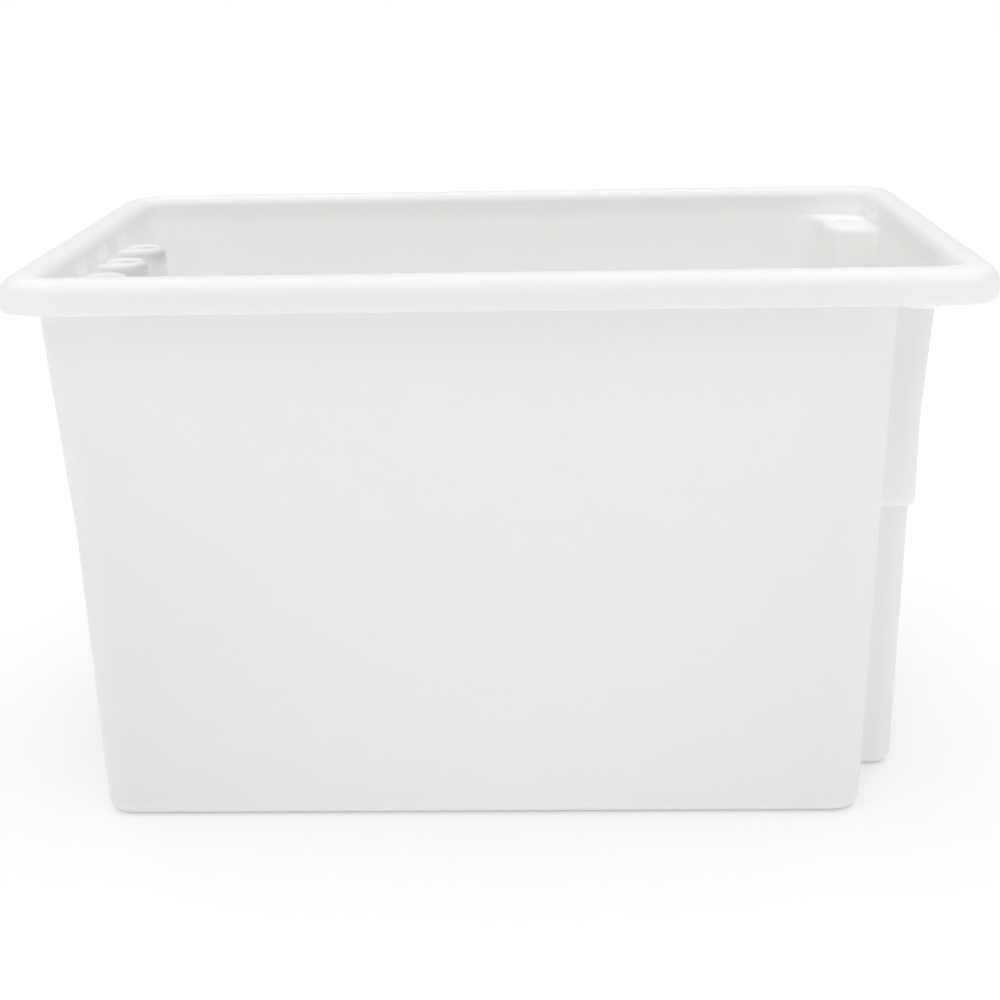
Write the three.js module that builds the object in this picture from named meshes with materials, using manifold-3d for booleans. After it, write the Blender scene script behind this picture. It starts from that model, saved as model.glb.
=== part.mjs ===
// Stacking crate: a deep, drafted tub with a turned-down rim, moulded in one shot.
// Two corner notches at the right end and three channels at the left end let the crate stack
// when it is turned end for end, and nest when it is not.
// The moulding is built whole, then parted into its walls, posts, shelves and rim stretches.
// Millimetres, +X right, +Y back, +Z up, with the origin under the middle of the base.
import * as THREE from 'three';
import { mergeVertices } from 'three/addons/utils/BufferGeometryUtils.js';
import Module from 'manifold-3d';

const wasm = await Module();
wasm.setup();

// Overall sizes
const rimLength = 645;
const rimWidth = 413;
const height = 397;
const wall = 3;

// Rim: a flat flange with a lip that hangs from its outer edge
const rimReach = 22;
const lipDepth = 22;
const rimCorner = 34;
const rimRound = 12;
const lipRound = 1.5;
const mouthRound = 8;

// Tub: two stages of draft, in millimetres of lean per millimetre of height
const stageHeight = 217;
const endDraftUpper = 0.053;
const endDraftLower = 0.015;
const sideDraftUpper = 0.065;
const sideDraftLower = 0.045;
const bodyCorner = 20;
const baseRound = 10;

// Right end: a proud panel between two corner notches
const notchDepth = 40;
const notchDraft = 0.018;
const notchInnerRound = 16;
const panelHalfUpper = 111;
const panelHalfLower = 93;
const panelSideDraft = 0.02;
const panelDraft = 0.07;
const panelBreak = 275;
const panelStep = 1.5;
const panelCorner = 12;
const ledgeRise = 6;

// Left end: half-round channels with flat lands between them, each a column inside the crate
const channelHalf = 15;
const channelLand = 32;
const channelDepth = 32.5;
const channelHalfDraft = 0.018;
const channelDraft = 0.03;
const channelMouthRound = 5;
const channelSpread = 6;

// Stacking shelves on top of the notches and channels, each with a round pocket
const shelfDrop = 22;
const shelfPocketRadius = 12;
const columnPocketRadius = 9;
const pocketDepth = 8;

// Facets
const filletSteps = 5;
const rimCornerSteps = 8;
const profileSteps = 4;
const pocketSides = 24;
const sharpest = 0.5;
const mostOfEdge = 0.49;
const snapDistance = 0.001;

// How far the planes that part the moulding stay from its faces, and from its roundings
const clear = 0.5;
const margin = 4;
const pocketGap = 3;

const lipZ = height - lipDepth;
const shelfZ = height - shelfDrop;
const flangeZ = height - wall;
const bodyHalfLength = rimLength / 2 - rimReach;
const bodyHalfWidth = rimWidth / 2 - rimReach;
const ledgeZ = stageHeight - ledgeRise;
const channelPitch = 2 * channelHalf + channelLand;
const channelCentres = [-channelPitch, 0, channelPitch];

// Half sizes of the tub's outside at a height
function drafted(half, z, upper, lower) {
  const top = Math.min(z, lipZ);
  const stage = Math.max(top, stageHeight);
  return half - (lipZ - stage) * upper - (stage - top) * lower;
}

function endHalf(z) {
  return drafted(bodyHalfLength, z, endDraftUpper, endDraftLower);
}

function sideHalf(z) {
  return drafted(bodyHalfWidth, z, sideDraftUpper, sideDraftLower);
}

function notchX(z) {
  return bodyHalfLength - notchDepth - (lipZ - z) * notchDraft;
}

function panelX(z, isUpper) {
  const breakX = bodyHalfLength - (lipZ - Math.max(z, panelBreak)) * panelDraft;
  return isUpper ? breakX : breakX - panelStep - (stageHeight - z) * endDraftLower;
}

function panelHalf(z, isUpper) {
  const widest = isUpper ? panelHalfUpper : panelHalfLower;
  const from = isUpper ? lipZ : ledgeZ;
  return widest - (from - z) * panelSideDraft;
}

// An outline with square corners, each rounded to its radius or to what its edges allow
function roundedOutline(corners, steps) {
  return corners.flatMap((corner, i) => {
    const toBefore = corners.at(i - 1).point.clone().sub(corner.point);
    const toAfter = corners[(i + 1) % corners.length].point.clone().sub(corner.point);
    const longest = Math.min(toBefore.length(), toAfter.length()) * mostOfEdge;
    const radius = Math.min(corner.radius, longest);
    toBefore.setLength(radius);
    toAfter.setLength(radius);
    const centre = corner.point.clone().add(toBefore).add(toAfter);
    return Array.from({ length: steps + 1 }, (_, step) => {
      const angle = (step / steps) * (Math.PI / 2);
      return centre.clone()
        .addScaledVector(toAfter, -Math.cos(angle))
        .addScaledVector(toBefore, -Math.sin(angle));
    });
  });
}

function corner(x, y, radius) {
  return { point: new THREE.Vector2(x, y), radius: Math.max(radius, sharpest) };
}

function rectangleOutline(halfX, halfY, radius, steps) {
  return roundedOutline([
    corner(-halfX, -halfY, radius),
    corner(halfX, -halfY, radius),
    corner(halfX, halfY, radius),
    corner(-halfX, halfY, radius),
  ], steps);
}

// The four corners of one channel, from its back edge to its front edge
function channelCorners(centreY, z, inset) {
  const mouthX = -endHalf(z) + inset;
  const faceX = -bodyHalfLength + channelDepth + (lipZ - z) * channelDraft + inset;
  const half = channelHalf + (lipZ - z) * channelHalfDraft + Math.min(inset, channelSpread);
  return [
    corner(mouthX, centreY + half, channelMouthRound - inset),
    corner(faceX, centreY + half, half),
    corner(faceX, centreY - half, half),
    corner(mouthX, centreY - half, channelMouthRound - inset),
  ];
}

// Plan of the tub with its notches and channels, moved inwards by inset
function notchedOutline(z, inset, isUpper) {
  const left = -endHalf(z) + inset;
  const side = sideHalf(z) - inset;
  const notch = notchX(z) - inset;
  const panel = panelX(z, isUpper) - inset;
  const half = panelHalf(z, isUpper) - inset;
  return roundedOutline([
    corner(left, -side, bodyCorner - inset),
    corner(notch, -side, bodyCorner - inset),
    corner(notch, -half, notchInnerRound + inset),
    corner(panel, -half, panelCorner - inset),
    corner(panel, half, panelCorner - inset),
    corner(notch, half, notchInnerRound + inset),
    corner(notch, side, bodyCorner - inset),
    corner(left, side, bodyCorner - inset),
    ...channelCentres.toReversed().flatMap((centreY) => channelCorners(centreY, z, inset)),
  ], filletSteps);
}

function plainOutline(z, inset) {
  return rectangleOutline(endHalf(z) - inset, sideHalf(z) - inset, bodyCorner - inset, filletSteps);
}

function rimOutline(inset) {
  return rectangleOutline(rimLength / 2 - inset, rimWidth / 2 - inset, rimCorner - inset, rimCornerSteps);
}

// A closed body through outlines that all have the same number of points
function loft(rows) {
  const count = rows[0].outline.length;
  const positions = rows.flatMap(({ z, outline }) => outline.flatMap((point) => [point.x, point.y, z]));
  const index = [];
  for (let row = 0; row + 1 < rows.length; row += 1) {
    for (let i = 0; i < count; i += 1) {
      const low = row * count + i;
      const lowNext = row * count + ((i + 1) % count);
      index.push(low, lowNext, lowNext + count, low, lowNext + count, low + count);
    }
  }
  const lastRow = (rows.length - 1) * count;
  for (const [a, b, c] of THREE.ShapeUtils.triangulateShape(rows[0].outline, [])) {
    index.push(c, b, a);
  }
  for (const [a, b, c] of THREE.ShapeUtils.triangulateShape(rows.at(-1).outline, [])) {
    index.push(lastRow + a, lastRow + b, lastRow + c);
  }
  const geometry = new THREE.BufferGeometry();
  geometry.setAttribute('position', new THREE.Float32BufferAttribute(positions, 3));
  geometry.setIndex(index);
  return solid(geometry);
}

function solid(geometry) {
  const bare = geometry.clone();
  bare.deleteAttribute('normal');
  bare.deleteAttribute('uv');
  const merged = mergeVertices(bare, 1e-5);
  return new wasm.Manifold(new wasm.Mesh({
    numProp: 3,
    vertProperties: new Float32Array(merged.attributes.position.array),
    triVerts: new Uint32Array(merged.index.array),
  }));
}

// Heights and insets down a quarter round that leaves a flat face at z and ends on a wall
function quarterRound(z, radius, direction) {
  return Array.from({ length: profileSteps + 1 }, (_, step) => {
    const angle = (step / profileSteps) * (Math.PI / 2);
    return {
      z: z + direction * radius * (1 - Math.cos(angle)),
      inset: radius * (1 - Math.sin(angle)),
    };
  });
}

// The outside of the tub, from the base to the underside of the flange
function tubOutside() {
  const base = quarterRound(0, baseRound, 1);
  const mouth = quarterRound(flangeZ, mouthRound - wall, -1).toReversed();
  const notched = loft([
    ...base.map(({ z, inset }) => ({ z, outline: notchedOutline(z, inset, false) })),
    { z: ledgeZ, outline: notchedOutline(ledgeZ, 0, false) },
    { z: stageHeight, outline: notchedOutline(stageHeight, 0, true) },
    { z: panelBreak, outline: notchedOutline(panelBreak, 0, true) },
    { z: shelfZ - wall, outline: notchedOutline(shelfZ - wall, 0, true) },
    { z: shelfZ, outline: notchedOutline(shelfZ, 0, true) },
  ]);
  const plain = loft([
    { z: shelfZ - wall, outline: plainOutline(shelfZ - wall, 0) },
    { z: shelfZ, outline: plainOutline(shelfZ, 0) },
    ...mouth.map(({ z, inset }) => ({ z, outline: plainOutline(z, -inset) })),
  ]);
  return notched.add(plain);
}

// The space inside the crate, out through its mouth
function tubInside() {
  const base = quarterRound(wall, baseRound - wall, 1);
  const mouth = quarterRound(height, mouthRound, -1).toReversed();
  const notched = loft([
    ...base.map(({ z, inset }) => ({ z, outline: notchedOutline(z, inset + wall, false) })),
    { z: ledgeZ + wall, outline: notchedOutline(ledgeZ + wall, wall, false) },
    { z: stageHeight + wall, outline: notchedOutline(stageHeight + wall, wall, true) },
    { z: panelBreak, outline: notchedOutline(panelBreak, wall, true) },
    { z: shelfZ, outline: notchedOutline(shelfZ, wall, true) },
    { z: shelfZ + wall, outline: notchedOutline(shelfZ + wall, wall, true) },
  ]);
  const plain = loft([
    { z: shelfZ, outline: plainOutline(shelfZ, wall) },
    { z: shelfZ + wall, outline: plainOutline(shelfZ + wall, wall) },
    ...mouth.map(({ z, inset }) => ({ z, outline: plainOutline(z, wall - inset) })),
    { z: height + wall, outline: plainOutline(height, wall - mouthRound) },
  ]);
  return notched.add(plain);
}

// The flange and the lip, above and around the tub
function rimSolid(inside) {
  const outer = loft([
    ...quarterRound(lipZ, lipRound, 1),
    ...quarterRound(height, rimRound, -1).toReversed(),
  ].map(({ z, inset }) => ({ z, outline: rimOutline(inset) })));
  const hollow = loft([
    { z: lipZ - wall, outline: rimOutline(wall) },
    ...quarterRound(flangeZ, rimRound - wall, -1).toReversed()
      .map(({ z, inset }) => ({ z, outline: rimOutline(inset + wall) })),
  ]);
  return outer.subtract(hollow).subtract(inside);
}

function block([x0, x1], [y0, y1], [z0, z1]) {
  const geometry = new THREE.BoxGeometry(x1 - x0, y1 - y0, z1 - z0);
  geometry.translate((x0 + x1) / 2, (y0 + y1) / 2, (z0 + z1) / 2);
  return solid(geometry);
}

function upright(radius, [z0, z1], x, y) {
  const geometry = new THREE.CylinderGeometry(radius, radius, z1 - z0, pocketSides);
  geometry.rotateX(Math.PI / 2);
  geometry.translate(x, y, (z0 + z1) / 2);
  return solid(geometry);
}

// A shelf plate with a round pocket sunk in it
function pocketed(plate, radius, x, y) {
  const floor = shelfZ - pocketDepth;
  return plate
    .add(upright(radius + wall, [floor - wall, shelfZ - wall / 2], x, y))
    .subtract(upright(radius, [floor, shelfZ + wall], x, y));
}

const far = 1000;
const group = new THREE.Group();
const plastic = new THREE.MeshStandardMaterial({ color: 0xf4f4f1, roughness: 0.42, metalness: 0 });

// Adds a piece, with its cut faces set exactly on the planes that it was cut at
function addNode(name, body, planes) {
  const mesh = body.getMesh();
  const positions = Float32Array.from(mesh.vertProperties, (value, i) => {
    return planes[i % 3].find((plane) => Math.abs(plane - value) < snapDistance) ?? value;
  });
  const geometry = new THREE.BufferGeometry();
  geometry.setAttribute('position', new THREE.BufferAttribute(positions, 3));
  geometry.setIndex(new THREE.BufferAttribute(new Uint32Array(mesh.triVerts), 1));
  geometry.computeVertexNormals();
  const node = new THREE.Mesh(geometry, plastic);
  node.name = name;
  group.add(node);
}

function cutNode(name, body, x, y, z) {
  addNode(name, body.intersect(block(x, y, z)), [x, y, z]);
}

// Planes that part the moulding
const postY = Math.round(sideHalf(0) - bodyCorner - margin);
const leftPostX = -Math.round(endHalf(0) - bodyCorner - margin);
const rightPostX = Math.round(notchX(0) - bodyCorner - margin);
const columnX = Math.round(-bodyHalfLength + channelDepth + lipZ * channelDraft + baseRound + margin);
const columnHalf = channelPitch / 2;
const columnSpan = columnHalf + channelPitch;
const notchY = Math.round(panelHalfUpper + notchInnerRound + margin);
const panelUpperY = Math.floor(panelHalf(stageHeight, true) - panelCorner);
const panelLowerY = Math.floor(panelHalf(0, false) - panelCorner);
const floorSplit = wall + clear;
const ledgeBand = [ledgeZ - clear, stageHeight + wall + clear];
const floorRightX = Math.round(notchX(0) + margin);
const rimCornerX = Math.round(Math.min(rimLength / 2 - rimCorner, bodyHalfLength - bodyCorner) - margin);
const rimCornerY = Math.round(Math.min(rimWidth / 2 - rimCorner, bodyHalfWidth - bodyCorner) - margin);
const lipX = rimLength / 2 - rimRound;
const lipY = rimWidth / 2 - rimRound;
const shelfBand = [shelfZ - wall - clear, shelfZ + clear];

// Pockets, each in the middle of its shelf or as near the notch wall as its cup allows
const pocketX = bodyHalfLength - notchDepth + pocketGap + wall + shelfPocketRadius;
const pocketY = (panelHalfUpper + bodyHalfWidth) / 2;
const columnPocketX = -bodyHalfLength + channelDepth / 2 + wall;

const inside = tubInside();
const tub = tubOutside().subtract(inside);
const rim = rimSolid(inside);

// A range from near to beyond, on the side of the crate that sign says
function range(sign, near, beyond = far) {
  return sign < 0 ? [-beyond, -near] : [near, beyond];
}

function addFloor() {
  cutNode('floor_centre', tub, [columnX, floorRightX], [-far, far], [-far, floorSplit]);
  cutNode('floor_right_end', tub, [floorRightX, far], [-far, far], [-far, floorSplit]);
}

function addSide(side, sign) {
  const outer = range(sign, postY);
  const lowerNotch = range(sign, panelLowerY, notchY);
  const upperNotch = range(sign, panelUpperY, notchY);
  const middle = [leftPostX, rightPostX];
  const leftEnd = [-far, leftPostX];
  const rightEnd = [rightPostX, far];
  const shelfPlanes = [rightEnd, range(sign, panelUpperY), shelfBand];
  const shelf = tub.intersect(block(...shelfPlanes));
  const pocket = pocketed(shelf, shelfPocketRadius, pocketX, sign * pocketY);
  cutNode(`floor_left_${side}`, tub, [-far, columnX], range(sign, columnSpan), [-far, floorSplit]);
  cutNode(`side_wall_lower_${side}`, tub, middle, outer, [floorSplit, stageHeight]);
  cutNode(`side_wall_upper_${side}`, tub, middle, outer, [stageHeight, far]);
  cutNode(`corner_post_left_${side}`, tub, leftEnd, outer, [floorSplit, far]);
  cutNode(`end_wall_left_${side}`, tub, leftEnd, range(sign, columnSpan, postY), [floorSplit, far]);
  cutNode(`corner_post_right_${side}`, tub, rightEnd, range(sign, notchY), [floorSplit, shelfBand[0]]);
  cutNode(`notch_wall_lower_${side}`, tub, rightEnd, lowerNotch, [floorSplit, ledgeBand[0]]);
  cutNode(`notch_ledge_${side}`, tub, rightEnd, lowerNotch, ledgeBand);
  cutNode(`notch_wall_upper_${side}`, tub, rightEnd, upperNotch, [ledgeBand[1], shelfBand[0]]);
  addNode(`stack_shelf_${side}`, pocket, shelfPlanes);
  cutNode(`shelf_surround_${side}`, tub, rightEnd, range(sign, panelUpperY), [shelfBand[1], far]);
}

function addEnds() {
  const lower = [-panelLowerY, panelLowerY];
  const upper = [-panelUpperY, panelUpperY];
  const columns = [-columnSpan, columnSpan];
  cutNode('end_panel_lower', tub, [rightPostX, far], lower, [floorSplit, ledgeBand[1]]);
  cutNode('end_panel_upper', tub, [rightPostX, far], upper, [ledgeBand[1], far]);
  cutNode('end_wall_left_top', tub, [-far, columnX], columns, [shelfBand[1], far]);
}

function addColumn(place, centreY) {
  const x = [-far, columnX];
  const y = [centreY - columnHalf, centreY + columnHalf];
  const shelf = tub.intersect(block(x, y, shelfBand));
  const pocket = pocketed(shelf, columnPocketRadius, columnPocketX, centreY);
  cutNode(`left_column_${place}`, tub, x, y, [-far, shelfBand[0]]);
  addNode(`column_shelf_${place}`, pocket, [x, y, shelfBand]);
}

function addRim() {
  const along = [-rimCornerX, rimCornerX];
  const across = [-rimCornerY, rimCornerY];
  const all = [-far, far];
  for (const [side, sign] of [['front', -1], ['back', 1]]) {
    cutNode(`rim_flange_${side}`, rim, along, range(sign, 0, lipY), all);
    cutNode(`rim_lip_${side}`, rim, along, range(sign, lipY), all);
    cutNode(`rim_corner_left_${side}`, rim, [-far, -rimCornerX], range(sign, rimCornerY), all);
    cutNode(`rim_corner_right_${side}`, rim, [rimCornerX, far], range(sign, rimCornerY), all);
  }
  for (const [end, sign] of [['left', -1], ['right', 1]]) {
    cutNode(`rim_flange_${end}`, rim, range(sign, 0, lipX), across, all);
    cutNode(`rim_lip_${end}`, rim, range(sign, lipX), across, all);
  }
}

addFloor();
addSide('front', -1);
addSide('back', 1);
addEnds();
['front', 'middle', 'back'].forEach((place, i) => addColumn(place, channelCentres[i]));
addRim();

export default group;
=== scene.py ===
"""Looks of a stacking crate: one continuous white plastic moulding on a pale studio floor."""

import math
from collections import namedtuple

import bmesh
import bpy
from mathutils import Matrix, Vector
from mathutils.geometry import tessellate_polygon


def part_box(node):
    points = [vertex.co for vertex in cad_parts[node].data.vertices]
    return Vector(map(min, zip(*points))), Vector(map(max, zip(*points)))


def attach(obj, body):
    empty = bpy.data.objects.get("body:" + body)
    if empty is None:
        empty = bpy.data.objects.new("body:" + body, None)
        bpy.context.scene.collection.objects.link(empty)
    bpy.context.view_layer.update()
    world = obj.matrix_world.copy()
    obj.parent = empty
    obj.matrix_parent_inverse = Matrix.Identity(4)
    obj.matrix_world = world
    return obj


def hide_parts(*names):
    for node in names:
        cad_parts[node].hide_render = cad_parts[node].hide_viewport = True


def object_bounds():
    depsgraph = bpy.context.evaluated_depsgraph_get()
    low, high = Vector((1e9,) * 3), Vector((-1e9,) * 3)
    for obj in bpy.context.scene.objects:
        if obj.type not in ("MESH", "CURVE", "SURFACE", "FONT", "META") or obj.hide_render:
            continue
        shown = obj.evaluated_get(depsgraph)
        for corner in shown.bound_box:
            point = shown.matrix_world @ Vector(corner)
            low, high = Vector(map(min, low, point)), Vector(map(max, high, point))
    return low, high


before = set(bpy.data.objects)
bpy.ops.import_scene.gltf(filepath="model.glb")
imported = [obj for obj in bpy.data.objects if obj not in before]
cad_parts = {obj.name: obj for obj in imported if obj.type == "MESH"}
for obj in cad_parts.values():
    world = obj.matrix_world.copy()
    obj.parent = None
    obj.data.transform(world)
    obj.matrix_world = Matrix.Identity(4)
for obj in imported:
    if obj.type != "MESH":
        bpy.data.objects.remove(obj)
cad_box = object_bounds()

# Sizes that the frame gives, in metres
TOP = cad_box[1].z
FLANGE_LOW, FLANGE_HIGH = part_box("rim_flange_front")
LIP_LOW, LIP_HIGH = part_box("rim_lip_front")
STACK_SHELF_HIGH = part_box("stack_shelf_back")[1]
WALL = FLANGE_HIGH.z - FLANGE_LOW.z
LIP_Z = LIP_LOW.z
SHELF_Z = LIP_LOW.z
BODY_HALF_LENGTH = STACK_SHELF_HIGH.x
BODY_HALF_WIDTH = STACK_SHELF_HIGH.y
RIM_REACH = cad_box[1].x - BODY_HALF_LENGTH
RIM_ROUND = LIP_HIGH.y - LIP_LOW.y
STAGE_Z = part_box("side_wall_lower_front")[1].z
COLUMN_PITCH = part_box("left_column_back")[1].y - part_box("left_column_middle")[1].y

# Draft, in metres of lean per metre of height
END_DRAFT = (0.053, 0.015)
SIDE_DRAFT = (0.065, 0.045)
NOTCH_DRAFT = 0.018
PANEL_DRAFT = 0.07
PANEL_SIDE_DRAFT = 0.02
COLUMN_DRAFT = 0.03
COLUMN_SIDE_DRAFT = 0.018

# Roundings
BODY_CORNER = 0.020
RIM_CORNER = 0.034
BASE_ROUND = 0.010
MOUTH_ROUND = 0.008
LIP_ROUND = 0.0014
NOTCH_INNER_ROUND = 0.016
PANEL_CORNER = 0.012
COLUMN_MOUTH_ROUND = 0.005
SHELF_EDGE_ROUND = 0.005
COLUMN_EDGE_SHARE = 0.7
UNDER_RIM_ROUND = MOUTH_ROUND - WALL
SHARPEST = 0.0005

# Right end notches and left end columns
NOTCH_DEPTH = 0.040
PANEL_HALF_UPPER = 0.111
PANEL_HALF_LOWER = 0.093
PANEL_BREAK_Z = 0.275
PANEL_STEP = 0.0015
LEDGE_RISE = 0.006
LEDGE_ROUND = 0.005
COLUMN_HALF = 0.015
COLUMN_DEPTH = 0.0325
COLUMN_SPREAD = 0.006
COLUMN_BEND_SHARE = 0.98

# Under the ledge: how far down and how wide, in shares of the ledge's round
LEDGE_HOLLOW = ((1, 0), (0.6, 0.1), (0.25, 0.35), (0.05, 0.8))

# Shelf pockets
POCKET_DEPTH = 0.008
POCKET_LIP = 0.0015
POCKET_GAP = 0.003
SIDE_POCKET_RADIUS = 0.012
COLUMN_POCKET_RADIUS = 0.009

# Mesh fineness
ARC_STEPS = 10
PROFILE_STEPS = 6
LEVEL_GAP = 0.018
WALL_PARTS = 40
PANEL_PARTS = 12
END_WALL_PARTS = 6
COLUMN_GAP_PARTS = 2
NOTCH_PARTS = (0, 6, 3, 0)
NOTCH_PARTS_ABOVE = (6, 10)
COLUMN_PARTS = (0, 2, 1, 2, 0)
COLUMN_PARTS_ABOVE = 10
POCKET_STEPS = 48
MERGE_DISTANCE = 2e-6
SHORTEST_EDGE = 1e-7

# The plastic: each noise has a scale and a detail
TINT_STOPS = ((0.3, (0.915, 0.912, 0.897, 1)), (0.7, (0.935, 0.933, 0.919, 1)))
TINT_NOISE = (7, 3)
ROUGHNESS_NOISE = (30, 4)
ROUGHNESS = (0.36, 0.50)
GRAIN_NOISE = (900, 2)
GRAIN_STRENGTH = 0.10
GRAIN_HEIGHT = 0.0002
WAVE_NOISE = (9, 1)
WAVE_STRENGTH = 0.25
WAVE_HEIGHT = 0.002
PLASTIC_IOR = 1.54
SCATTER_WEIGHT = 0.9
SCATTER_RADIUS = (0.9, 0.9, 0.8)
SCATTER_SCALE = 0.02

# The floor. Its patch lies hidden under the base
FLOOR_REACH = 40
FLOOR_COLOUR = (0.9, 0.9, 0.9, 1)
FLOOR_ROUGHNESS = 0.9
FLOOR_GLOW_NEAR = 0.14
FLOOR_GLOW = 0.52
GLOW_START = 0.8
GLOW_FULL = 3.0
PATCH_HALF_LENGTH = 0.25
PATCH_HALF_WIDTH = 0.142
PATCH_GLOW = 0.38
PATCH_TILE = 4

# The air: its strength overhead and at eye level, and the heights it changes between
AIR_LIGHT = 0.52
HORIZON_LIGHT = 1.02
HORIZON_BAND = (0.02, 0.10)

# Area lights: name, place, target, size and watts
LIGHTS = (
    ("overhead", (0, 0.1, 2.4), (0, 0.1, 0), (4.0, 4.0), 47),
    ("key", (0, -3.8, 3.9), (0, 0, 0.25), (3.2, 2.2), 22),
    ("front_fill", (0, -5.2, 1.9), (0, 0, 0.3), (4.0, 1.6), 2),
)

CAMERA_PLACE = (0.0334, -1.2918, 0.5961)
CAMERA_YAW = math.radians(-1.696)
CAMERA_PITCH = math.radians(17.647)
CAMERA_ROLL = math.radians(-1.054)
CAMERA_LENS = 63.05
CAMERA_SENSOR = 36

LEDGE_Z = STAGE_Z - LEDGE_RISE
RIM_CORNER_GROWTH = (RIM_CORNER - BODY_CORNER) / RIM_REACH
COLUMN_CENTRES = (COLUMN_PITCH, 0.0, -COLUMN_PITCH)

# One level of the skin: its height, how far it lies inside the outer wall, how far the
# proud end panel has widened, how much the column edges are rounded away, whether it is
# above the shelves, and where its sections part
Row = namedtuple("Row", "z inset widened edge above splits")


def drafted(half, z, draft):
    top = min(z, LIP_Z)
    stage = max(top, STAGE_Z)
    return half - (LIP_Z - stage) * draft[0] - (stage - top) * draft[1]


def blend(low, high, share):
    return low + (high - low) * share


class Plan:
    """The plan sizes of the skin at one row."""

    def __init__(self, row):
        z, inset = row.z, row.inset
        shelf_inset = inset - row.edge
        column_inset = inset - row.edge * COLUMN_EDGE_SHARE
        self.left = -drafted(BODY_HALF_LENGTH, z, END_DRAFT) + inset
        self.side = drafted(BODY_HALF_WIDTH, z, SIDE_DRAFT) - inset
        growth = RIM_CORNER_GROWTH if inset < 0 else 1
        self.corner = max(BODY_CORNER - inset * growth, SHARPEST)
        self.notch = BODY_HALF_LENGTH - NOTCH_DEPTH - (LIP_Z - z) * NOTCH_DRAFT - shelf_inset
        upright = BODY_HALF_LENGTH - (LIP_Z - max(min(z, LIP_Z), PANEL_BREAK_Z)) * PANEL_DRAFT
        lower_x = upright - PANEL_STEP - (STAGE_Z - z) * END_DRAFT[1]
        self.panel = blend(lower_x, upright, row.widened) - inset
        lower_half = PANEL_HALF_LOWER - (LEDGE_Z - z) * PANEL_SIDE_DRAFT
        upper_half = PANEL_HALF_UPPER - (LIP_Z - z) * PANEL_SIDE_DRAFT
        self.half = blend(lower_half, upper_half, row.widened) - shelf_inset
        self.notch_round = max(NOTCH_INNER_ROUND + shelf_inset, SHARPEST)
        self.panel_round = max(PANEL_CORNER - inset, SHARPEST)
        self.face = -BODY_HALF_LENGTH + COLUMN_DEPTH + (LIP_Z - z) * COLUMN_DRAFT + column_inset
        spread = min(column_inset, COLUMN_SPREAD)
        self.column = COLUMN_HALF + (LIP_Z - z) * COLUMN_SIDE_DRAFT + spread
        self.mouth_round = max(COLUMN_MOUTH_ROUND - inset, SHARPEST)


Splits = namedtuple("Splits", "x y column")


def natural_splits(plan):
    """Where the notches and columns leave the plain walls on this level."""
    return Splits(
        plan.notch - plan.corner,
        plan.half - plan.panel_round,
        plan.column + plan.mouth_round,
    )


def straight(start, end, parts):
    """Even points from start to end, with end left out."""
    return [start.lerp(end, part / parts) for part in range(parts)]


def round_path(start, corners, end, parts):
    """Points from start to end round square corners, with end left out.

    corners holds a point and a radius each, and parts the divisions of each straight bit."""
    stops = [start, *[point for point, _ in corners], end]
    points = []
    here = start
    for i, (corner, radius) in enumerate(corners):
        before = (stops[i] - corner).normalized() * radius
        after = (stops[i + 2] - corner).normalized() * radius
        if parts[i]:
            points += straight(here, corner + before, parts[i])
        centre = corner + before + after
        for step in range(ARC_STEPS):
            angle = step / ARC_STEPS * math.pi / 2
            points.append(centre - after * math.cos(angle) - before * math.sin(angle))
        here = corner + after
    if parts[-1]:
        points += straight(here, end, parts[-1])
    return points


def notch_section(row, plan, splits, sign):
    """From the long wall to the end panel, anticlockwise on the front side (sign -1)."""
    start = Vector((splits.x, sign * plan.side))
    end = Vector((plan.panel, sign * splits.y))
    if row.above:
        corners = [(Vector((plan.panel, sign * plan.side)), plan.corner)]
        parts = NOTCH_PARTS_ABOVE
    else:
        corners = [
            (Vector((plan.notch, sign * plan.side)), plan.corner),
            (Vector((plan.notch, sign * plan.half)), plan.notch_round),
            (Vector((plan.panel, sign * plan.half)), plan.panel_round),
        ]
        parts = NOTCH_PARTS
    if sign < 0:
        return round_path(start, corners, end, parts)
    return round_path(end, corners[::-1], start, parts[::-1])


def column_section(row, plan, splits, centre):
    """Down the left end wall, round one column on the way."""
    start = Vector((plan.left, centre + splits.column))
    end = Vector((plan.left, centre - splits.column))
    if row.above:
        return straight(start, end, COLUMN_PARTS_ABOVE)
    top, low = centre + plan.column, centre - plan.column
    bend = plan.column * COLUMN_BEND_SHARE
    corners = [
        (Vector((plan.left, top)), plan.mouth_round),
        (Vector((plan.face, top)), bend),
        (Vector((plan.face, low)), bend),
        (Vector((plan.left, low)), plan.mouth_round),
    ]
    return round_path(start, corners, end, COLUMN_PARTS)


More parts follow.
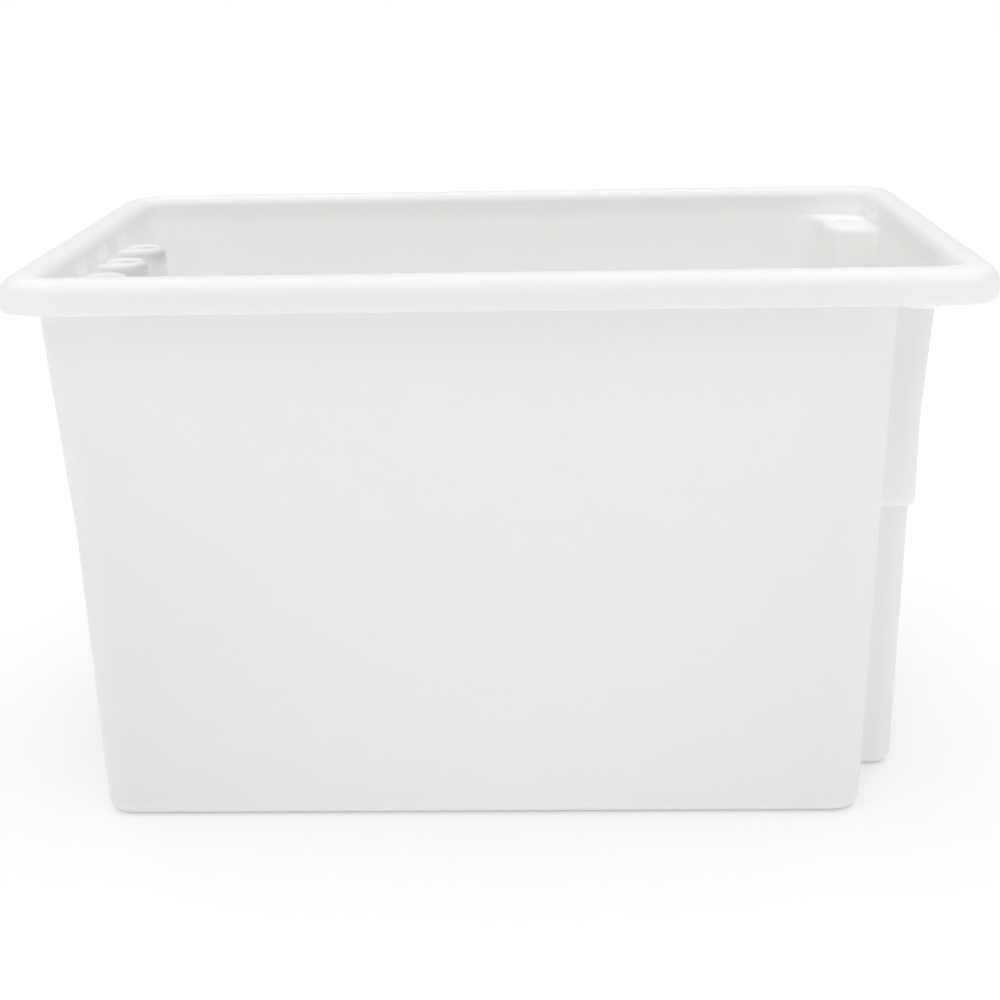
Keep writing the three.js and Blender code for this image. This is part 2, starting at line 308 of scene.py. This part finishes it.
def sections(row):
    """The outline of a row as sections of points, anticlockwise. The odd ones are features."""
    plan = Plan(row)
    splits = row.splits or natural_splits(plan)
    left, side, panel, corner = plan.left, plan.side, plan.panel, plan.corner
    front_left = round_path(
        Vector((left, corner - side)),
        [(Vector((left, -side)), corner)],
        Vector((corner + left, -side)),
        (0, 0),
    )
    back_left = round_path(
        Vector((corner + left, side)),
        [(Vector((left, side)), corner)],
        Vector((left, side - corner)),
        (0, 0),
    )
    first_column = Vector((left, COLUMN_CENTRES[0] + splits.column))
    left_back = straight(Vector((left, side - corner)), first_column, END_WALL_PARTS)
    front = straight(Vector((corner + left, -side)), Vector((splits.x, -side)), WALL_PARTS)
    back = straight(Vector((splits.x, side)), Vector((corner + left, side)), WALL_PARTS)
    end_panel = straight(Vector((panel, -splits.y)), Vector((panel, splits.y)), PANEL_PARTS)
    made = [
        front_left + front,
        notch_section(row, plan, splits, -1),
        end_panel,
        notch_section(row, plan, splits, 1),
        back + back_left + left_back,
    ]
    for centre, following in zip(COLUMN_CENTRES, [*COLUMN_CENTRES[1:], None]):
        made.append(column_section(row, plan, splits, centre))
        start = Vector((left, centre - splits.column))
        if following is None:
            made.append(straight(start, Vector((left, corner - side)), END_WALL_PARTS))
        else:
            end = Vector((left, following + splits.column))
            made.append(straight(start, end, COLUMN_GAP_PARTS))
    return made


def quarter(z, radius, direction):
    """Heights and insets from a flat face at z, round a quarter turn and onto a wall."""
    turns = [step / PROFILE_STEPS * math.pi / 2 for step in range(PROFILE_STEPS + 1)]
    return [(z + direction * radius * (1 - math.cos(a)), radius * (1 - math.sin(a))) for a in turns]


def levels(low, high):
    """Even heights between two rows, with both ends left out."""
    count = max(1, round((high - low) / LEVEL_GAP))
    return [blend(low, high, i / count) for i in range(1, count)]


def ledge_levels():
    """Heights and widening over the ledge, hollow below and rounded above."""
    reach = PANEL_HALF_UPPER - PANEL_HALF_LOWER
    share = LEDGE_ROUND / reach
    hollow = [(LEDGE_Z - depth * LEDGE_ROUND, share * width) for depth, width in LEDGE_HOLLOW]
    crown = [(LEDGE_Z + z, 1 - inset / reach) for z, inset in quarter(0, LEDGE_ROUND, 1)]
    return hollow + crown


def lower_rows(outer):
    """Rows of one face of the tub, from the base to the shelves."""
    inset = 0.0 if outer else WALL
    rows = [Row(z, inset + more, 0.0, 0.0, False, None)
            for z, more in quarter(inset, BASE_ROUND - inset, 1)]
    ledge = [(z + inset, widened) for z, widened in ledge_levels()]
    rows += [Row(z, inset, 0.0, 0.0, False, None) for z in levels(BASE_ROUND, ledge[0][0])]
    rows += [Row(z, inset, widened, 0.0, False, None) for z, widened in ledge]
    if outer:
        top = SHELF_Z - WALL
        rows += [Row(z, inset, 1.0, 0.0, False, None) for z in levels(ledge[-1][0], top)]
        rows.append(Row(top, inset, 1.0, 0.0, False, None))
    else:
        top = SHELF_Z - SHELF_EDGE_ROUND
        rows += [Row(z, inset, 1.0, 0.0, False, None) for z in levels(ledge[-1][0], top)]
        rows += [Row(z, inset, 1.0, edge, False, None)
                 for z, edge in reversed(quarter(SHELF_Z, SHELF_EDGE_ROUND, -1))]
    return rows


def upper_rows(inner_splits, outer_splits):
    """Rows from the shelves up the inside, over the rim and down to the outer shelf level."""
    def plain(z, inset, splits):
        return Row(z, inset, 1.0, 0.0, True, splits)

    inside = [plain(SHELF_Z, WALL, inner_splits)]
    inside += [plain(z, WALL, inner_splits) for z in levels(SHELF_Z, TOP - MOUTH_ROUND)]
    inside += [plain(z, WALL - more, inner_splits) for z, more in reversed(quarter(TOP, MOUTH_ROUND, -1))]
    edge = [plain(z, more - RIM_REACH, outer_splits) for z, more in quarter(TOP, RIM_ROUND, -1)]
    foot = [plain(z, more - RIM_REACH, outer_splits) for z, more in reversed(quarter(LIP_Z, LIP_ROUND, 1))]
    heel = [plain(z, WALL - RIM_REACH - more, outer_splits) for z, more in quarter(LIP_Z, LIP_ROUND, 1)]
    hollow = [plain(z, WALL - RIM_REACH + more, outer_splits)
              for z, more in reversed(quarter(TOP - WALL, RIM_ROUND - WALL, -1))]
    root = [plain(z, -more, outer_splits) for z, more in quarter(TOP - WALL, UNDER_RIM_ROUND, -1)]
    wall_levels = levels(SHELF_Z - WALL, TOP - WALL - UNDER_RIM_ROUND)
    down = [plain(z, 0.0, outer_splits) for z in reversed(wall_levels)]
    return inside + edge + foot + heel + hollow + root + down + [plain(SHELF_Z - WALL, 0.0, outer_splits)]


def flat_loop(row):
    """A row's whole outline as points at its height."""
    return [Vector((p.x, p.y, row.z)) for section in sections(row) for p in section]


class Skin:
    """Collects points and faces. Points in the same place are merged at the end."""

    def __init__(self):
        self.points = []
        self.faces = []

    def strip(self, rows):
        """Bridges loops that all have the same number of points."""
        count = len(rows[0])
        first = len(self.points)
        for row in rows:
            self.points += row
        for k in range(len(rows) - 1):
            for i in range(count):
                a, b = first + k * count + i, first + k * count + (i + 1) % count
                self.faces.append((a, a + count, b + count, b))

    def plate(self, loop, up, holes=()):
        """A flat face with holes, as triangles that look up or down."""
        loops = [loop, *holes]
        flat = [point for ring in loops for point in ring]
        first = len(self.points)
        self.points += flat
        for a, b, c in tessellate_polygon(loops):
            normal = (flat[b] - flat[a]).cross(flat[c] - flat[a])
            if (normal.z > 0) == up:
                self.faces.append((first + a, first + b, first + c))
            else:
                self.faces.append((first + a, first + c, first + b))

    def mesh(self, name):
        mesh = bpy.data.meshes.new(name)
        mesh.from_pydata(self.points, [], [tuple(face) for face in self.faces])
        shape = bmesh.new()
        shape.from_mesh(mesh)
        bmesh.ops.remove_doubles(shape, verts=shape.verts, dist=MERGE_DISTANCE)
        bmesh.ops.dissolve_degenerate(shape, edges=shape.edges, dist=SHORTEST_EDGE)
        for face in shape.faces:
            face.smooth = True
        shape.to_mesh(mesh)
        shape.free()
        return mesh


def ring(centre, radius, z):
    turns = [step / POCKET_STEPS * 2 * math.pi for step in range(POCKET_STEPS)]
    return [Vector((centre[0] + radius * math.cos(a), centre[1] + radius * math.sin(a), z)) for a in turns]


def pocket_rings(centre, radius):
    """Rings of a pocket's top side, from its lip down to its floor."""
    lip = [ring(centre, radius + more, z) for z, more in quarter(SHELF_Z, POCKET_LIP, -1)]
    floor = SHELF_Z - POCKET_DEPTH
    foot = [ring(centre, radius - more, z) for z, more in reversed(quarter(floor, POCKET_LIP, 1))]
    return lip + foot


def cup_rings(centre, radius):
    """Rings of the cup that a pocket makes under its shelf, from its floor up to the shelf."""
    low = SHELF_Z - POCKET_DEPTH - WALL
    foot = [ring(centre, radius + WALL - more, z) for z, more in quarter(low, 2 * POCKET_LIP, 1)]
    return foot + [ring(centre, radius + WALL, SHELF_Z - WALL)]


def pocket_of(feature):
    """Centre and radius of the pocket on a feature section's shelf."""
    side_x = BODY_HALF_LENGTH - NOTCH_DEPTH + POCKET_GAP + WALL + SIDE_POCKET_RADIUS
    side_y = (PANEL_HALF_UPPER + BODY_HALF_WIDTH) / 2
    column_x = -BODY_HALF_LENGTH + COLUMN_DEPTH / 2 + WALL
    places = {
        1: ((side_x, -side_y), SIDE_POCKET_RADIUS),
        3: ((side_x, side_y), SIDE_POCKET_RADIUS),
        5: ((column_x, COLUMN_CENTRES[0]), COLUMN_POCKET_RADIUS),
        7: ((column_x, COLUMN_CENTRES[1]), COLUMN_POCKET_RADIUS),
        9: ((column_x, COLUMN_CENTRES[2]), COLUMN_POCKET_RADIUS),
    }
    return places[feature]


def shelf_loop(below, above, feature):
    """The outline of a shelf: where the walls stand below it, and back along the plain wall."""
    z = below.z
    low, high = sections(below), sections(above)
    near = low[feature] + [low[(feature + 1) % len(low)][0]]
    return [Vector((p.x, p.y, z)) for p in near + high[feature][:0:-1]]


def crate_skin():
    """The whole moulding as one closed skin, with its five shelves."""
    skin = Skin()
    inner, outer = lower_rows(False), lower_rows(True)
    inner_splits = natural_splits(Plan(inner[-1]))
    outer_splits = natural_splits(Plan(outer[-1]))
    upper = upper_rows(inner_splits, outer_splits)
    skin.plate(flat_loop(inner[0]), True)
    skin.strip([flat_loop(row) for row in inner])
    skin.strip([flat_loop(row) for row in upper])
    skin.strip([flat_loop(row) for row in reversed(outer)])
    skin.plate(flat_loop(outer[0]), False)
    for feature in (1, 3, 5, 7, 9):
        centre, radius = pocket_of(feature)
        pocket, cup = pocket_rings(centre, radius), cup_rings(centre, radius)
        skin.plate(shelf_loop(inner[-1], upper[0], feature), True, [pocket[0]])
        skin.strip([list(reversed(loop)) for loop in pocket])
        skin.plate(pocket[-1], True)
        skin.plate(shelf_loop(outer[-1], upper[-1], feature), False, [cup[-1]])
        skin.strip([list(reversed(loop)) for loop in cup])
        skin.plate(cup[0], False)
    return skin.mesh("crate_moulding")


def white_plastic():
    """Slightly warm white polyethylene, satin, with a very fine moulded grain and faint flow marks."""
    material = bpy.data.materials.new("white_plastic")
    material.use_nodes = True
    tree = material.node_tree
    shader = tree.nodes["Principled BSDF"]
    place = tree.nodes.new("ShaderNodeTexCoord")

    def noise(scale, detail):
        node = tree.nodes.new("ShaderNodeTexNoise")
        node.inputs["Scale"].default_value = scale
        node.inputs["Detail"].default_value = detail
        tree.links.new(place.outputs["Object"], node.inputs["Vector"])
        return node.outputs["Fac"]

    def ramp(source, low, high):
        node = tree.nodes.new("ShaderNodeMapRange")
        node.inputs["To Min"].default_value = low
        node.inputs["To Max"].default_value = high
        tree.links.new(source, node.inputs["Value"])
        return node.outputs["Result"]

    def bump(source, strength, height, under=None):
        node = tree.nodes.new("ShaderNodeBump")
        node.inputs["Strength"].default_value = strength
        node.inputs["Distance"].default_value = height
        tree.links.new(source, node.inputs["Height"])
        if under:
            tree.links.new(under, node.inputs["Normal"])
        return node.outputs["Normal"]

    tint = tree.nodes.new("ShaderNodeValToRGB")
    for stop, (position, colour) in zip(tint.color_ramp.elements, TINT_STOPS):
        stop.position = position
        stop.color = colour
    tree.links.new(noise(*TINT_NOISE), tint.inputs["Fac"])
    tree.links.new(tint.outputs["Color"], shader.inputs["Base Color"])
    tree.links.new(ramp(noise(*ROUGHNESS_NOISE), *ROUGHNESS), shader.inputs["Roughness"])
    waves = bump(noise(*WAVE_NOISE), WAVE_STRENGTH, WAVE_HEIGHT)
    grain = bump(noise(*GRAIN_NOISE), GRAIN_STRENGTH, GRAIN_HEIGHT, waves)
    tree.links.new(grain, shader.inputs["Normal"])
    shader.inputs["IOR"].default_value = PLASTIC_IOR
    shader.inputs["Subsurface Weight"].default_value = SCATTER_WEIGHT
    shader.inputs["Subsurface Radius"].default_value = SCATTER_RADIUS
    shader.inputs["Subsurface Scale"].default_value = SCATTER_SCALE
    return material


def build_crate():
    """One object for the whole moulding, which stands for every CAD node."""
    mesh = crate_skin()
    crate = bpy.data.objects.new("crate_moulding", mesh)
    bpy.context.scene.collection.objects.link(crate)
    mesh.materials.append(white_plastic())
    weighted = crate.modifiers.new("weighted_normals", "WEIGHTED_NORMAL")
    weighted.keep_sharp = True
    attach(crate, "root")
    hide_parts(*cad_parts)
    return crate


def glowing_white(name, near, far):
    """Matt white that is faintly lit from within, by near at the crate and by far away from it."""
    material = bpy.data.materials.new(name)
    material.use_nodes = True
    tree = material.node_tree
    shader = tree.nodes["Principled BSDF"]
    shader.inputs["Base Color"].default_value = FLOOR_COLOUR
    shader.inputs["Roughness"].default_value = FLOOR_ROUGHNESS
    shader.inputs["Emission Color"].default_value = (1, 1, 1, 1)
    place = tree.nodes.new("ShaderNodeTexCoord")
    distance = tree.nodes.new("ShaderNodeVectorMath")
    distance.operation = "LENGTH"
    tree.links.new(place.outputs["Object"], distance.inputs[0])
    glow = tree.nodes.new("ShaderNodeMapRange")
    glow.inputs["From Min"].default_value = GLOW_START
    glow.inputs["From Max"].default_value = GLOW_FULL
    glow.inputs["To Min"].default_value = near
    glow.inputs["To Max"].default_value = far
    tree.links.new(distance.outputs["Value"], glow.inputs["Value"])
    tree.links.new(glow.outputs["Result"], shader.inputs["Emission Strength"])
    return material


def build_floor():
    """A pale floor that reaches past the edges of the picture.

    The patch under the base is brighter, so that as much light comes through the base as
    through the walls."""
    across = (-FLOOR_REACH, -PATCH_HALF_LENGTH, PATCH_HALF_LENGTH, FLOOR_REACH)
    deep = (-FLOOR_REACH, -PATCH_HALF_WIDTH, PATCH_HALF_WIDTH, FLOOR_REACH)
    corners = [(x, y, 0) for y in deep for x in across]
    row = len(across)
    starts = [i + row * j for j in range(len(deep) - 1) for i in range(row - 1)]
    tiles = [(i, i + 1, i + 1 + row, i + row) for i in starts]
    mesh = bpy.data.meshes.new("studio_floor")
    mesh.from_pydata(corners, [], tiles)
    mesh.materials.append(glowing_white("studio_white", FLOOR_GLOW_NEAR, FLOOR_GLOW))
    mesh.materials.append(glowing_white("studio_patch", PATCH_GLOW, PATCH_GLOW))
    mesh.polygons[PATCH_TILE].material_index = 1
    floor = bpy.data.objects.new("studio_floor", mesh)
    bpy.context.scene.collection.objects.link(floor)


def area_light(name, place, target, size, watts):
    light = bpy.data.lights.new(name, "AREA")
    light.shape = "RECTANGLE"
    light.size, light.size_y = size
    light.energy = watts
    lamp = bpy.data.objects.new(name, light)
    lamp.location = place
    lamp.rotation_mode = "QUATERNION"
    lamp.rotation_quaternion = (Vector(target) - Vector(place)).to_track_quat("-Z", "Y")
    bpy.context.scene.collection.objects.link(lamp)


def build_air():
    """White all round at eye level, and dimmer overhead."""
    world = bpy.data.worlds.new("studio_air")
    world.use_nodes = True
    tree = world.node_tree
    place = tree.nodes.new("ShaderNodeTexCoord")
    parts = tree.nodes.new("ShaderNodeSeparateXYZ")
    tree.links.new(place.outputs["Generated"], parts.inputs["Vector"])
    fade = tree.nodes.new("ShaderNodeMapRange")
    fade.inputs["From Min"].default_value = HORIZON_BAND[0]
    fade.inputs["From Max"].default_value = HORIZON_BAND[1]
    fade.inputs["To Min"].default_value = HORIZON_LIGHT
    fade.inputs["To Max"].default_value = AIR_LIGHT
    tree.links.new(parts.outputs["Z"], fade.inputs["Value"])
    air = tree.nodes["Background"]
    air.inputs["Color"].default_value = (1, 1, 1, 1)
    tree.links.new(fade.outputs["Result"], air.inputs["Strength"])
    bpy.context.scene.world = world


def build_lights():
    for light in LIGHTS:
        area_light(*light)


def build_camera():
    """A camera at the front, a little above the rim and looking down on it."""
    data = bpy.data.cameras.new("camera")
    data.lens = CAMERA_LENS
    data.sensor_width = CAMERA_SENSOR
    camera = bpy.data.objects.new("camera", data)
    turn = Matrix.Rotation(-CAMERA_YAW, 4, "Z")
    tilt = Matrix.Rotation(math.pi / 2 - CAMERA_PITCH, 4, "X")
    roll = Matrix.Rotation(CAMERA_ROLL, 4, "Z")
    camera.matrix_world = Matrix.Translation(CAMERA_PLACE) @ turn @ tilt @ roll
    bpy.context.scene.collection.objects.link(camera)
    bpy.context.scene.camera = camera


build_camera()
build_floor()
build_air()
build_lights()
build_crate()
bpy.context.scene.view_settings.view_transform = "Standard"
